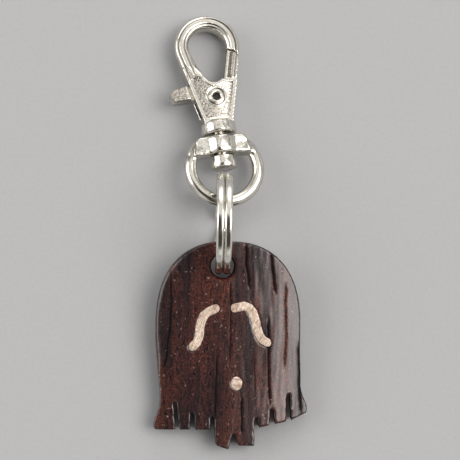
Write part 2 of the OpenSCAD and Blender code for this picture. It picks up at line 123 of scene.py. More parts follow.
def from_line(points: np.ndarray, line: Sequence[Sequence[float]]) -> tuple[np.ndarray, np.ndarray]:
    """Measures how far points lie from an open line of straight stretches.

    Args:
        points: Points of a plane, one a row.
        line: Corners of the line, in order.

    Returns:
        The distance to the line, and the place along it from 0 to 1, for each point.
    """
    corners = np.asarray(line, float)
    steps = np.diff(corners, axis=0)
    lengths = np.linalg.norm(steps, axis=1)
    starts = np.concatenate([[0], np.cumsum(lengths)[:-1]])
    best = np.full(len(points), 1e9)
    place = np.zeros(len(points))
    for corner, step, length, start in zip(corners[:-1], steps, lengths, starts):
        t = np.clip((points - corner) @ step / length**2, 0, 1)
        gap = np.linalg.norm(points - corner - t[:, None] * step, axis=1)
        nearer = gap < best
        best = np.where(nearer, gap, best)
        place = np.where(nearer, (start + t * length) / lengths.sum(), place)
    return best, place


@dataclass(frozen=True)
class Place:
    """A working frame: its origin, in millimetres, and its axes as the columns of a matrix."""

    origin: np.ndarray
    axes: np.ndarray

    def inward(self, points: np.ndarray) -> np.ndarray:
        """Returns points of the model's frame as this frame sees them."""
        return (points - self.origin) @ self.axes

    def outward(self, points: np.ndarray) -> np.ndarray:
        """Returns points of this frame as the model's frame sees them."""
        return points @ self.axes.T + self.origin


@dataclass
class Shell:
    """A closed surface in millimetres, with its polygons and any masks that a finish reads."""

    points: np.ndarray
    polygons: list
    edges: np.ndarray
    masks: dict = field(default_factory=dict)

    def mesh(self, name: str) -> bpy.types.Mesh:
        """Builds the surface as a mesh in metres.

        Args:
            name: Name of the mesh.

        Returns:
            The mesh, shaded smooth, with each mask as an attribute.
        """
        made = bpy.data.meshes.new(name)
        made.from_pydata((self.points * MM).tolist(), [], self.polygons)
        made.shade_smooth()
        for mask, values in self.masks.items():
            layer = made.attributes.new(mask, "FLOAT", "POINT")
            layer.data.foreach_set("value", np.asarray(values, np.float32))
        made.update()
        return made

    def ease(self, weight: np.ndarray, passes: int) -> None:
        """Wears the surface smooth.

        Args:
            weight: Share of the way to the mean of its neighbours that each point goes in a pass.
            passes: How many passes are made.
        """
        first, second = self.edges.T
        near, far = np.concatenate([first, second]), np.concatenate([second, first])
        count = np.bincount(near, minlength=len(self.points))
        for _ in range(passes):
            total = [np.bincount(near, self.points[far, axis], len(count)) for axis in range(3)]
            mean = np.column_stack(total) / count[:, None]
            self.points = self.points + weight[:, None] * (mean - self.points)

    def normals(self) -> np.ndarray:
        """Returns the outward direction at each point."""
        made = self.mesh("trial")
        flat = np.zeros(len(made.vertices) * 3, np.float32)
        made.vertex_normals.foreach_get("vector", flat)
        bpy.data.meshes.remove(made)
        return flat.reshape(-1, 3).astype(float)

    def swell(self, move: np.ndarray) -> None:
        """Moves each point outward by its own distance in millimetres."""
        self.points = self.points + self.normals() * move[:, None]

    def mark(self, mask: str, values: np.ndarray) -> None:
        """Stores a mask, held between 0 and 1."""
        self.masks[mask] = np.clip(values, 0, 1)


def settled(scene_object: bpy.types.Object) -> bpy.types.Mesh:
    """Applies an object's modifiers and removes the object.

    Args:
        scene_object: Object whose modifiers are to be applied.

    Returns:
        The resulting mesh.
    """
    bpy.context.view_layer.update()
    graph = bpy.context.evaluated_depsgraph_get()
    made = bpy.data.meshes.new_from_object(scene_object.evaluated_get(graph))
    scene_object.modifiers.clear()
    old = scene_object.data
    bpy.data.objects.remove(scene_object)
    if old.users == 0:
        bpy.data.meshes.remove(old)
    return made


def read(made: bpy.types.Mesh, scale: float = 1.0) -> Shell:
    """Reads a mesh's points and polygons.

    Args:
        made: Mesh to read, which is then removed.
        scale: What each length is multiplied by.

    Returns:
        The surface that the mesh held.
    """
    flat = np.zeros(len(made.vertices) * 3, np.float32)
    made.vertices.foreach_get("co", flat)
    ends = np.zeros(len(made.edges) * 2, np.int32)
    made.edges.foreach_get("vertices", ends)
    polygons = [tuple(polygon.vertices) for polygon in made.polygons]
    bpy.data.meshes.remove(made)
    return Shell(flat.reshape(-1, 3).astype(float) * scale, polygons, ends.reshape(-1, 2))


def softened(node: str, grid: float, passes: int) -> Shell:
    """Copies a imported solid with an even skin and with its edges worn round.

    Args:
        node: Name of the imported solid.
        grid: Size of one square of the skin, in millimetres.
        passes: How often the skin is smoothed.

    Returns:
        The new skin, in millimetres.
    """
    copy = frame["nodes"][node].data.copy()
    copy.transform(Matrix.Scale(1 / MM, 4))
    copy.materials.clear()
    worn = bpy.data.objects.new(node + "_worn", copy)
    bpy.context.scene.collection.objects.link(worn)
    weld = worn.modifiers.new("Weld", "WELD")
    weld.merge_threshold = WELD_GAP
    skin = worn.modifiers.new("Skin", "REMESH")
    skin.mode = "VOXEL"
    skin.voxel_size = grid
    ease = worn.modifiers.new("Ease", "SMOOTH")
    ease.factor = 0.5
    ease.iterations = passes
    return read(settled(worn))


def spun(profile: Sequence[tuple[float, float]], around: int, place: Place) -> Shell:
    """Turns a closed outline about the middle axis of a working frame.

    Args:
        profile: Radius and height of each corner, in order. A radius of 0 closes the skin.
        around: Number of steps round the axis.
        place: Frame whose third axis is turned about.

    Returns:
        The closed skin, in the model's frame.
    """
    points: list = []
    rings: list = []
    for radius, height in profile:
        count = 1 if radius == 0 else around
        rings.append(range(len(points), len(points) + count))
        for i in range(count):
            turn = 2 * math.pi * i / around
            points.append((radius * math.cos(turn), radius * math.sin(turn), height))
    polygons: list = []
    pairs = list(zip(rings[:-1], rings[1:]))
    if profile[0][0] > 0:
        pairs.append((rings[-1], rings[0]))
    for low, high in pairs:
        for i in range(around):
            j = (i + 1) % around
            face = [low[i % len(low)], low[j % len(low)], high[j % len(high)], high[i % len(high)]]
            polygons.append(tuple(dict.fromkeys(face)))
    polygons = [face for face in polygons if len(face) > 2]
    return Shell(place.outward(np.array(points)), polygons, np.zeros((0, 2), int))


def rounded_profile(corners: Sequence[tuple[float, float]], radius: float, closed: bool) -> list:
    """Rounds the corners of a turned profile.

    Args:
        corners: Radius and height of each sharp corner.
        radius: Radius of the rounding.
        closed: Whether the last corner joins the first.

    Returns:
        The corners with a short arc in place of each one that is not on the axis.
    """
    made: list = []
    count = len(corners)
    for i, corner in enumerate(corners):
        here = np.array(corner, float)
        if corner[0] == 0 or (not closed and i in (0, count - 1)):
            made.append(tuple(here))
            continue
        before = np.array(corners[i - 1], float) - here
        after = np.array(corners[(i + 1) % count], float) - here
        cut = min(radius, 0.45 * np.linalg.norm(before), 0.45 * np.linalg.norm(after))
        start, end = here + cut * unit(before), here + cut * unit(after)
        for t in (0.0, 0.25, 0.5, 0.75, 1.0):
            made.append(tuple((1 - t) ** 2 * start + 2 * t * (1 - t) * here + t * t * end))
    return made


# ---- Node trees ----


@dataclass
class Graph:
    """Adds nodes to a tree and joins them."""

    tree: bpy.types.NodeTree

    def add(self, kind: str, inputs: Optional[dict] = None, **settings) -> bpy.types.Node:
        """Adds one node.

        Args:
            kind: Blender's name for the node's type.
            inputs: What each input holds: a number, a colour or another node's output.
            settings: Properties of the node.

        Returns:
            The new node.
        """
        made = self.tree.nodes.new(kind)
        for key, value in settings.items():
            setattr(made, key, value)
        self.fill(made, inputs or {})
        return made

    def fill(self, node: bpy.types.Node, inputs: dict) -> None:
        """Gives each input of a node, by name or number, its value or another node's output."""
        for key, value in inputs.items():
            if isinstance(value, Socket):
                self.tree.links.new(value, node.inputs[key])
            else:
                node.inputs[key].default_value = value

    def math(self, how: str, *values, clamp: bool = False) -> Socket:
        """Returns the output of a math node that works on the given numbers or outputs."""
        kind = "ShaderNodeMath"
        return self.add(kind, dict(enumerate(values)), operation=how, use_clamp=clamp).outputs[0]

    def times(self, first: Value, second: Value, clamp: bool = False) -> Socket:
        """Returns the product of two numbers or outputs."""
        return self.math("MULTIPLY", first, second, clamp=clamp)

    def plus(self, first: Value, second: Value, clamp: bool = False) -> Socket:
        """Returns the sum of two numbers or outputs."""
        return self.math("ADD", first, second, clamp=clamp)

    def minus(self, first: Value, second: Value, clamp: bool = False) -> Socket:
        """Returns the first number or output less the second."""
        return self.math("SUBTRACT", first, second, clamp=clamp)

    def join(self, value: Socket, node: bpy.types.Node, name: str) -> None:
        """Leads an output to a node's named input."""
        self.tree.links.new(value, node.inputs[name])

    def mask(self, name: str) -> Socket:
        """Returns a mask that the piece's mesh carries, or 0 where it has none."""
        return self.add("ShaderNodeAttribute", attribute_name=name).outputs["Fac"]

    def noise(self, vector: Socket, size: Value, detail: float = 3.0) -> Socket:
        """Returns a noise value with lumps per unit of the vector given by size."""
        inputs = {"Vector": vector, "Scale": size, "Detail": detail}
        return self.add("ShaderNodeTexNoise", inputs).outputs[0]

    def ease(self, value: Socket, low: Value, high: Value) -> Socket:
        """Returns a value eased from a range to 0 to 1."""
        inputs = {"Value": value, 1: low, 2: high, 3: 0.0, 4: 1.0}
        node = self.add("ShaderNodeMapRange", inputs, interpolation_type="SMOOTHSTEP")
        return node.outputs[0]

    def blend(self, share: Value, first: Value, second: Value) -> Socket:
        """Returns a mix of two colours."""
        made = self.add("ShaderNodeMix", data_type="RGBA")
        self.fill(made, {0: share, 6: first, 7: second})
        return made.outputs[2]

    def bump(self, height: Socket, distance: float) -> Socket:
        """Returns the normal of a surface raised by a height of up to the distance, in metres."""
        inputs = {"Strength": 1.0, "Distance": distance, "Height": height}
        return self.add("ShaderNodeBump", inputs).outputs[0]

    def stretched(
        self, vector: Socket, scale: tuple, turn: tuple = (0, 0, 0), shift: tuple = (0, 0, 0)
    ) -> Socket:
        """Returns a vector scaled, turned and shifted by a Mapping node."""
        inputs = {"Vector": vector, "Location": shift, "Rotation": turn, "Scale": scale}
        return self.add("ShaderNodeMapping", inputs).outputs[0]


def new_group(name: str, inputs: dict, outputs: dict) -> tuple[Graph, bpy.types.Node, bpy.types.Node]:
    """Starts a shader node group.

    Args:
        name: Name of the group.
        inputs: Socket type and default of each input, by name.
        outputs: Socket type of each output, by name.

    Returns:
        The group's graph, its input node and its output node.
    """
    tree = bpy.data.node_groups.new(name, "ShaderNodeTree")
    for key, (kind, default) in inputs.items():
        socket = tree.interface.new_socket(key, in_out="INPUT", socket_type="NodeSocket" + kind)
        if default is not None:
            socket.default_value = default
    for key, kind in outputs.items():
        tree.interface.new_socket(key, in_out="OUTPUT", socket_type="NodeSocket" + kind)
    graph = Graph(tree)
    return graph, graph.add("NodeGroupInput"), graph.add("NodeGroupOutput")


def handled_group() -> bpy.types.NodeTree:
    """Builds the group for a plated surface that hands have smudged and dulled.

    Returns:
        The group. It puts out a roughness, a tone from 0 to 1 and a height.
    """
    inputs = {
        "Vector": ("Vector", None),
        "Polish": ("Float", 0.12),
        "Dulling": ("Float", 0.12),
        "Patch Size": ("Float", 0.6),
        "Grain Size": ("Float", 5.0),
    }
    outputs = {"Roughness": "Float", "Tone": "Float", "Height": "Float"}
    graph, start, end = new_group("handled plating", inputs, outputs)
    given = start.outputs
    patches = graph.noise(given["Vector"], given["Patch Size"], 4.0)
    grain = graph.noise(given["Vector"], given["Grain Size"], 5.0)
    patch = graph.ease(patches, 0.35, 0.7)
    fine = graph.ease(grain, 0.3, 0.75)
    smudge = graph.plus(graph.times(patch, 0.7), graph.times(fine, 0.3))
    dull = graph.times(smudge, given["Dulling"])
    graph.join(graph.plus(given["Polish"], dull), end, "Roughness")
    graph.join(graph.minus(1.0, graph.times(patch, fine)), end, "Tone")
    graph.join(grain, end, "Height")
    return graph.tree


def fibre_group() -> bpy.types.NodeTree:
    """Builds the group for wood: fibres, broad figure and open pores along one direction, with painted glints
    of the lacquer.

    Returns:
        The group. Its vector is in millimetres with the fibres along Y. It puts out a colour, a
        roughness, a height and a mask of the pores.
    """
    inputs = {
        "Vector": ("Vector", None),
        "Dark": ("Color", (0.02, 0.01, 0.01, 1)),
        "Light": ("Color", (0.1, 0.04, 0.03, 1)),
        "Glow": ("Color", (0.2, 0.05, 0.02, 1)),
        "Figure Size": ("Float", 0.32),
        "Fibre Size": ("Float", 3.2),
        "Pores": ("Float", 1.0),
        "Painted Glints": ("Float", 0.4),
        "Ember And Sheen": ("Float", 0.0),
    }
    outputs = {"Color": "Color", "Roughness": "Float", "Height": "Float", "Pores": "Float"}
    graph, start, end = new_group("wood fibres", inputs, outputs)
    given = start.outputs
    waver = graph.stretched(given["Vector"], (0.25, 0.06, 0.25))
    drift = graph.add("ShaderNodeTexNoise", {"Vector": waver, "Scale": 1.0, "Detail": 2.0}).outputs["Color"]
    bent = graph.add("ShaderNodeVectorMath", {0: drift, 1: (2.4, 0.0, 2.4)}, operation="MULTIPLY").outputs[0]
    vector = graph.add("ShaderNodeVectorMath", {0: given["Vector"], 1: bent}, operation="ADD").outputs[0]

    def strands(along: float, size: Value, detail: float, shift: tuple = (0, 0, 0)) -> Socket:
        """Returns a noise drawn out along the fibres."""
        return graph.noise(graph.stretched(vector, (1, along, 1), shift=shift), size, detail)

    bands = strands(0.09, given["Figure Size"], 4.0)
    lines = strands(0.05, given["Fibre Size"], 4.0, (7, 0, 3))
    hairs = strands(0.22, given["Fibre Size"], 3.0, (3, 5, 0))
    grits = strands(0.6, graph.times(given["Fibre Size"], 1.2), 3.0, (9, 2, 6))
    open_pores = strands(0.2, given["Fibre Size"], 1.0, (1, 9, 4))
    band = graph.ease(bands, 0.4, 0.64)
    line = graph.ease(lines, 0.36, 0.66)
    hair = graph.ease(hairs, 0.34, 0.66)
    grit = graph.ease(grits, 0.42, 0.64)
    pore = graph.times(graph.ease(open_pores, 0.58, 0.66), given["Pores"])
    mixed = graph.plus(graph.times(line, 0.35), graph.times(hair, 0.3))
    ground = graph.blend(graph.plus(mixed, graph.times(grit, 0.35)), given["Dark"], given["Light"])
    share = graph.times(band, graph.plus(0.1, graph.times(grit, 0.5)))
    glint = graph.plus(graph.times(line, 0.45), graph.times(grit, 0.55))
    hot = graph.times(given["Ember And Sheen"], glint)
    lit = graph.blend(graph.plus(share, hot, clamp=True), ground, given["Glow"])
    dotted = graph.blend(graph.times(pore, 0.8), lit, given["Dark"])
    # Tiny pale specks are painted glints of the lacquer.
    glint_speck_noise = strands(0.8, 2.3, 0.0, (4, 4, 8))
    painted_glint_share = graph.times(graph.ease(glint_speck_noise, 0.76, 0.82), given["Painted Glints"])
    graph.join(graph.blend(painted_glint_share, dotted, PAINTED_GLINT), end, "Color")
    ribs = graph.plus(graph.times(hair, 0.5), graph.times(line, 0.5))
    bumps = graph.plus(ribs, graph.times(grit, 0.8))
    graph.join(graph.minus(bumps, graph.times(pore, 1.2)), end, "Height")
    graph.join(graph.plus(0.33, graph.times(hair, 0.14)), end, "Roughness")
    graph.join(pore, end, "Pores")
    return graph.tree


HANDLED = handled_group()
FIBRES = fibre_group()


def new_material(name: str) -> tuple[bpy.types.Material, Graph, bpy.types.Node]:
    """Starts a material.

    Args:
        name: Name of the material.

    Returns:
        The material, its graph and its Principled shader, already joined to the output.
    """
    made = bpy.data.materials.new(name)
    made.use_nodes = True
    made.node_tree.nodes.clear()
    graph = Graph(made.node_tree)
    shader = graph.add("ShaderNodeBsdfPrincipled")
    graph.add("ShaderNodeOutputMaterial", {"Surface": shader.outputs[0]})
    return made, graph, shader


@dataclass(frozen=True)
class Plating:
    """Nickel plating on a cast, turned or drawn piece."""

    name: str
    bright: tuple = (0.74, 0.715, 0.655, 1)
    dim: tuple = (0.52, 0.48, 0.42, 1)
    pit_and_shade: tuple = (0.10, 0.085, 0.07, 1)
    polish: float = 0.09
    dulling: float = 0.16
    patch: float = 0.55
    grain: float = 5.0
    relief: float = 0.02

    def build(self) -> bpy.types.Material:
        """Builds the plating. It reads the masks "pit" and "grain" of a piece that has them.

        Returns:
            The material.
        """
        made, graph, shader = new_material(self.name)
        shader.inputs["Metallic"].default_value = 1.0
        where = graph.add("ShaderNodeTexCoord").outputs["Object"]
        worn = graph.add("ShaderNodeGroup", {
            "Vector": graph.stretched(where, PER_MM), "Polish": self.polish, "Dulling": self.dulling,
            "Patch Size": self.patch, "Grain Size": self.grain,
        }, node_tree=HANDLED)
        # This mask darkens the colour in pits and paints shade into grooves and shaded hollows.
        pit_and_shade = graph.mask("pit_and_shade")
        grain = graph.mask("grain")
        tone = graph.blend(worn.outputs["Tone"], self.dim, self.bright)
        graph.join(graph.blend(pit_and_shade, tone, self.pit_and_shade), shader, "Base Color")
        duller = graph.plus(worn.outputs["Roughness"], graph.times(grain, 0.14))
        graph.join(duller, shader, "Roughness")
        depth = graph.plus(0.25, graph.times(grain, 2.2))
        deep = graph.times(worn.outputs["Height"], depth)
        graph.join(graph.bump(deep, self.relief * MM), shader, "Normal")
        return made


@dataclass(frozen=True)
class Timber:
    """Wood under a satin lacquer."""

    name: str
    dark: tuple
    light: tuple
    glow: tuple
    pitch: float
    along: Along = Along.LENGTH
    figure: float = 0.32
    fibre: float = 3.2
    pores: float = 1.0
    relief: float = 0.03
    coat: float = 0.9
    coat_roughness: float = 0.16
    coat_ior: float = 1.55
    specular: float = 0.12

    def build(self) -> bpy.types.Material:
        """Builds the wood. It reads the masks "crack", "matte" and "ember" of a piece that has them.

        Returns:
            The material.
        """
        made, graph, shader = new_material(self.name)
        where = graph.add("ShaderNodeTexCoord").outputs["Object"]
        flat = graph.stretched(where, PER_MM, turn=(-self.pitch, 0, 0))
        vector = graph.stretched(flat, (1, 1, 1), turn=(0, 0, math.radians(self.along.value)))
        wood = graph.add("ShaderNodeGroup", {
            "Vector": vector, "Dark": self.dark, "Light": self.light, "Glow": self.glow,
            "Figure Size": self.figure, "Fibre Size": self.fibre, "Pores": self.pores,
            "Ember And Sheen": graph.mask("ember_and_sheen"),
        }, node_tree=FIBRES)
        crack_and_hole_shade = graph.mask("crack_and_hole_shade")
        # Cracks and the walls of the hole and the fringe are painted near black as shade.
        black = tuple(0.25 * c for c in self.dark[:3]) + (1,)
        graph.join(graph.blend(crack_and_hole_shade, wood.outputs["Color"], black), shader, "Base Color")
        rougher = graph.plus(wood.outputs["Roughness"], graph.times(crack_and_hole_shade, 0.4))
        graph.join(rougher, shader, "Roughness")
        matte = graph.mask("matte")
        sound = graph.minus(1.0, matte, clamp=True)
        graph.join(graph.times(sound, self.coat), shader, "Coat Weight")
        graph.fill(shader, {
            "Coat Roughness": self.coat_roughness, "Coat IOR": self.coat_ior,
            "Specular IOR Level": self.specular,
        })
        graph.join(graph.bump(wood.outputs["Height"], self.relief * MM), shader, "Normal")
        return made


Finish = Union[Plating, Timber]


def show(
    name: str, made: bpy.types.Mesh, body: str, node: str, finish: Optional[Finish] = None
) -> bpy.types.Object:
    """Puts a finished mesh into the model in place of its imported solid.

    Args:
        name: Name of the piece.
        made: Its mesh, in metres, in the model's frame.
        body: Body that it moves with.
        node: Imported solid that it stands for.
        finish: Finish of the piece, unless its mesh already has one.

    Returns:
        The new object.
    """
    if finish is not None:
        made.materials.append(finish.build())
    piece = bpy.data.objects.new(name, made)
    bpy.context.scene.collection.objects.link(piece)
    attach(piece, body)
    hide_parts(node)
    LOG.info("%s: %d points, %d faces", name, len(made.vertices), len(made.polygons))
    return piece


# ---- Geometry Nodes ----


def coil_tree() -> bpy.types.NodeTree:
    """Builds the node tree of a wire wound round the Z axis.

    Returns:
        The tree. Its inputs are the coil's sizes in metres, its angles in radians and its
        material. The wire rises along Z over one stretch of its length.
    """
    tree = bpy.data.node_groups.new("wound wire", "GeometryNodeTree")
    tree.interface.new_socket("Geometry", in_out="INPUT", socket_type="NodeSocketGeometry")
    tree.interface.new_socket("Geometry", in_out="OUTPUT", socket_type="NodeSocketGeometry")
    for name, kind in {
        "Steps": "Int", "Radius": "Float", "First Angle": "Float", "Sweep": "Float", "Rise": "Float",
        "Rise Start": "Float", "Rise End": "Float", "Ease": "Float", "Leg": "Float",
        "Wire Depth": "Float", "Wire Height": "Float", "Edge Radius": "Float", "Finish": "Material",
    }.items():
        tree.interface.new_socket(name, in_out="INPUT", socket_type="NodeSocket" + kind)
    graph = Graph(tree)
    given = graph.add("NodeGroupInput").outputs
    line = graph.add("GeometryNodeCurvePrimitiveLine", {"Start": (0, 0, 0), "End": (1, 0, 0)})
    dense = graph.add("GeometryNodeResampleCurve", {"Curve": line.outputs[0], "Count": given["Steps"]})
    share = graph.add("GeometryNodeSplineParameter").outputs["Factor"]
    angle = graph.plus(given["First Angle"], graph.times(share, given["Sweep"]))
    gone = graph.minus(share, given["Rise Start"])
    stretch = graph.minus(given["Rise End"], given["Rise Start"])
    raw = graph.math("DIVIDE", gone, stretch, clamp=True)
    eased = graph.times(graph.times(raw, raw), graph.minus(3.0, graph.times(raw, 2.0)))
    part = graph.plus(raw, graph.times(graph.minus(eased, raw), given["Ease"]))
    height = graph.times(graph.minus(part, 0.5), given["Rise"])
    # Near both ends of the wire the radius grows, so that it leaves the coil in a leg
    early = graph.times(graph.minus(LEG_SHARE, share), 1 / LEG_SHARE, clamp=True)
    late = graph.times(graph.minus(share, 1 - LEG_SHARE), 1 / LEG_SHARE, clamp=True)
    leg = graph.times(graph.plus(early, late), given["Leg"])
    reach = graph.plus(given["Radius"], leg)
    spot = graph.add("ShaderNodeCombineXYZ", {
        0: graph.times(reach, graph.math("COSINE", angle)),
        1: graph.times(reach, graph.math("SINE", angle)),
        2: height,
    })
    bent = graph.add("GeometryNodeSetPosition", {"Geometry": dense.outputs[0], "Position": spot.outputs[0]})
    upright = graph.add("GeometryNodeSetCurveNormal", {"Curve": bent.outputs[0]}, mode="Z_UP")
    section = graph.add("GeometryNodeCurvePrimitiveQuadrilateral", {
        "Width": given["Wire Depth"], "Height": given["Wire Height"],
    })
    soft = graph.add("GeometryNodeFilletCurve", {
        "Curve": section.outputs[0], "Radius": given["Edge Radius"], "Limit Radius": True, "Count": 7,
    }, mode="POLY")
    wire = graph.add("GeometryNodeCurveToMesh", {
        "Curve": upright.outputs[0], "Profile Curve": soft.outputs[0], "Fill Caps": True,
    })
    smooth_wire = graph.add("GeometryNodeSetShadeSmooth", {"Geometry": wire.outputs[0]})
    real = graph.add("GeometryNodeRealizeInstances", {"Geometry": smooth_wire.outputs[0]})
    dressed = graph.add("GeometryNodeSetMaterial", {"Geometry": real.outputs[0], "Material": given["Finish"]})
    graph.add("NodeGroupOutput", {"Geometry": dressed.outputs[0]})
    return tree


def wound(tree: bpy.types.NodeTree, settings: dict, place: Place) -> bpy.types.Mesh:
    """Winds a wire and puts it in its place.

    Args:
        tree: Tree of the wound wire.
        settings: What each named input of the tree holds.
        place: Frame whose third axis the wire winds round.

    Returns:
        The wire as a plain mesh, in metres, in the model's frame.
    """
    empty = bpy.data.objects.new("winding", bpy.data.meshes.new("winding"))
    bpy.context.scene.collection.objects.link(empty)
    modifier = empty.modifiers.new("Winding", "NODES")
    modifier.node_group = tree
    for item in tree.interface.items_tree:
        if item.in_out == "INPUT" and item.name in settings:
            modifier[item.identifier] = settings[item.name]
    made = settled(empty)
    turn = Matrix(place.axes.tolist()).to_4x4()
    made.transform(Matrix.Translation(Vector(place.origin * MM)) @ turn)
    return made


COIL = coil_tree()


# ---- Clasp ----


def pivot(joint: str) -> np.ndarray:
    """Returns the point that a joint turns about, in millimetres."""
    return np.array(JOINTS[joint]["pos_m"]) / MM


def clasp_place() -> Place:
    """Returns the clasp's frame: X across it, Y up its swivel axis and Z out of its front."""
    up = unit(JOINTS["swivel"]["axis"])
    front = unit(JOINTS["gate"]["axis"])
    across = unit(np.cross(up, front))
    return Place(pivot("swivel"), np.column_stack([across, up, np.cross(across, up)]))


CLASP = clasp_place()


@dataclass
class HookBody:
    """The cast hook: collar, two cheeks with sunken webs, and a ridged loop."""

    neck_half: float = 3.0
    neck_up: float = 9.8
    loop_up: float = 25.9
    loop_radius: float = 6.75
    bar_width: float = 2.9
    body_depth: float = 4.6
    web_sink: float = 0.35
    boss_radius: float = 2.1
    rivet: tuple = (0.2, 14.65)
    # Each groove: its place outside the bar's middle line, its half width and its depth
    ridges: tuple = ((0.66, 0.19, 0.24), (-0.6, 0.15, 0.17))
    grid: float = 0.1
    passes: int = 4
    proudest: float = 0.12
    finish: Plating = Plating("cast nickel", polish=0.1, dulling=0.13)

    @property
    def lean(self) -> float:
        """Angle by which a cheek's edge leans out from the neck, in radians."""
        far = math.hypot(self.neck_half, self.loop_up - self.neck_up)
        return math.asin(self.loop_radius / far) - math.atan2(self.neck_half, self.loop_up - self.neck_up)

    def across_bar(self, points: np.ndarray) -> np.ndarray:
        """Measures how far points lie outside the middle line of the loop's bar.

        Args:
            points: Points in the clasp's frame.

        Returns:
            Millimetres outward from the middle line, negative towards the opening.
        """
        round_part = np.hypot(points[:, 0], points[:, 1] - self.loop_up) - self.loop_radius
        out = np.array([-math.cos(self.lean), -math.sin(self.lean)])
        straight = (points[:, :2] - [-self.neck_half, self.neck_up]) @ out
        touch = self.loop_up + self.loop_radius * out[1]
        left = (points[:, 0] < 0) & (points[:, 1] < touch)
        return np.where(left, straight, round_part) + self.bar_width / 2

    def worn(self) -> Shell:
        """Wears the casting where the cheeks run out into the loop.

        Returns:
            The skin of the hook.
        """
        shell = softened("hook_body", self.grid, self.passes)
        local = CLASP.inward(shell.points)
        blend = between(local[:, 1], 17.8, 19.5, 22.5, 24) * (local[:, 0] < 0.5)
        shell.ease(0.5 * blend, 30)
        step = bell(local[:, 0] + 2.6, 1.3) * bell(local[:, 1] - 21.4, 1.3)
        shell.ease(0.6 * step, 110)
        shell.ease(0.5 * smooth(19.5, 22, local[:, 1]), 12)
        kink = between(local[:, 1], 22.5, 23.5, 26, 27.5) * (local[:, 0] < -3)
        shell.ease(0.5 * kink, 16)
        return shell

    def build(self) -> bpy.types.Object:
        """Builds the hook and dresses it.

        Returns:
            The finished piece.
        """
        shell = self.worn()
        local, facing = CLASP.inward(shell.points), shell.normals() @ CLASP.axes
        front = np.abs(facing[:, 2])
        u, v, w = local.T
        # Grooves run round the loop and down the left bar on both faces
        outside = self.across_bar(local)
        along = smooth(18.5, 20.5, v) * np.where((u > 0) & (v < self.loop_up - 2), 0, 1)
        sink = np.zeros(len(local))
        for offset, width, depth in self.ridges:
            sink += depth * bell(outside - offset, width)
        sink *= along * smooth(0.25, 0.6, front)
        # The web runs up into the outer groove in a point
        inner = outside + self.bar_width / 2
        edge = np.interp(v, [18.0, 19.2, 22.6], [0.8, 0.9, 2.1])
        apex = smooth(-0.12, 0.12, inner - edge) * (1 - smooth(0.55, 0.8, outside))
        apex *= between(v, 18.2, 19.2, 21.4, 22.6) * (u < 0) * smooth(0.5, 0.8, front)
        sink = np.maximum(sink, 0.2 * apex)
        # The webs keep the sand's grain
        floor = bell(np.abs(w) - (self.body_depth / 2 - self.web_sink), 0.14)
        boss = np.hypot(u - self.rivet[0], v - self.rivet[1])
        web = floor * smooth(0.7, 0.9, front) * between(v, 9.9, 10.3, 19.2, 19.8)
        web *= smooth(self.boss_radius - 0.1, self.boss_radius + 0.2, boss)
        web = np.maximum(web, 0.55 * apex)
        inward = -(u - self.neck_half) * math.cos(self.lean) + (v - self.neck_up) * math.sin(self.lean)
        shade = web * (1 - smooth(1.2, 1.45, inward)) * smooth(-0.5, 0.5, u)
        lumps = rough(local, 0.34, 1) + 0.6 * rough(local, 0.19, 2)
        ripple = 0.014 * rough(local, 0.9, 3)
        side = smooth(0.55, 0.85, facing[:, 0]) * (1 - smooth(21, 23, v)) * smooth(9.9, 11, v)
        ring = bell(boss - 1.7, 0.12) * smooth(2.1, 2.2, np.abs(w))
        collar = (1 - smooth(9.3, 9.9, v)) * smooth(0.4, 0.8, np.hypot(facing[:, 0], facing[:, 2]))
        swell = 0.16 * web * (1 - ((u - 0.2) / 2.6) ** 2)
        hammer = collar * (0.09 * rough(local, 1.5, 5) + 0.03 * rough(local, 0.5, 6))
        move = -sink + ripple + swell + hammer + 0.06 * lumps * web
        move += 0.05 * side * rough(local, 0.4, 4) - 0.16 * ring
        shell.swell(np.minimum(move, self.proudest))
        # Painted shade and light: the grooves and the groove round the rivet's boss are painted darker as
        # shade, and a band along the web's right edge is painted in shade. The web is painted lighter towards
        # its right, where the light falls. Its sand pits darken it too.
        dim = smooth(-1.2, 1.6, u) * 0.3
        grooved = 0.8 * np.maximum(sink - 0.17 * apex, 0) / 0.2
        web_pits_and_shade = web * (0.45 - dim + (0.9 - dim) * smooth(0.1, 0.7, -lumps))
        pit_and_shade = np.clip(grooved + web_pits_and_shade + 0.9 * ring, 0, 1)
        shell.mark("pit_and_shade", pit_and_shade + shade * (0.45 + 0.35 * lumps))
        shell.mark("grain", web + 0.4 * side + 0.3 * collar)
        return show("hook", shell.mesh("hook"), "hook", "hook_body", self.finish)


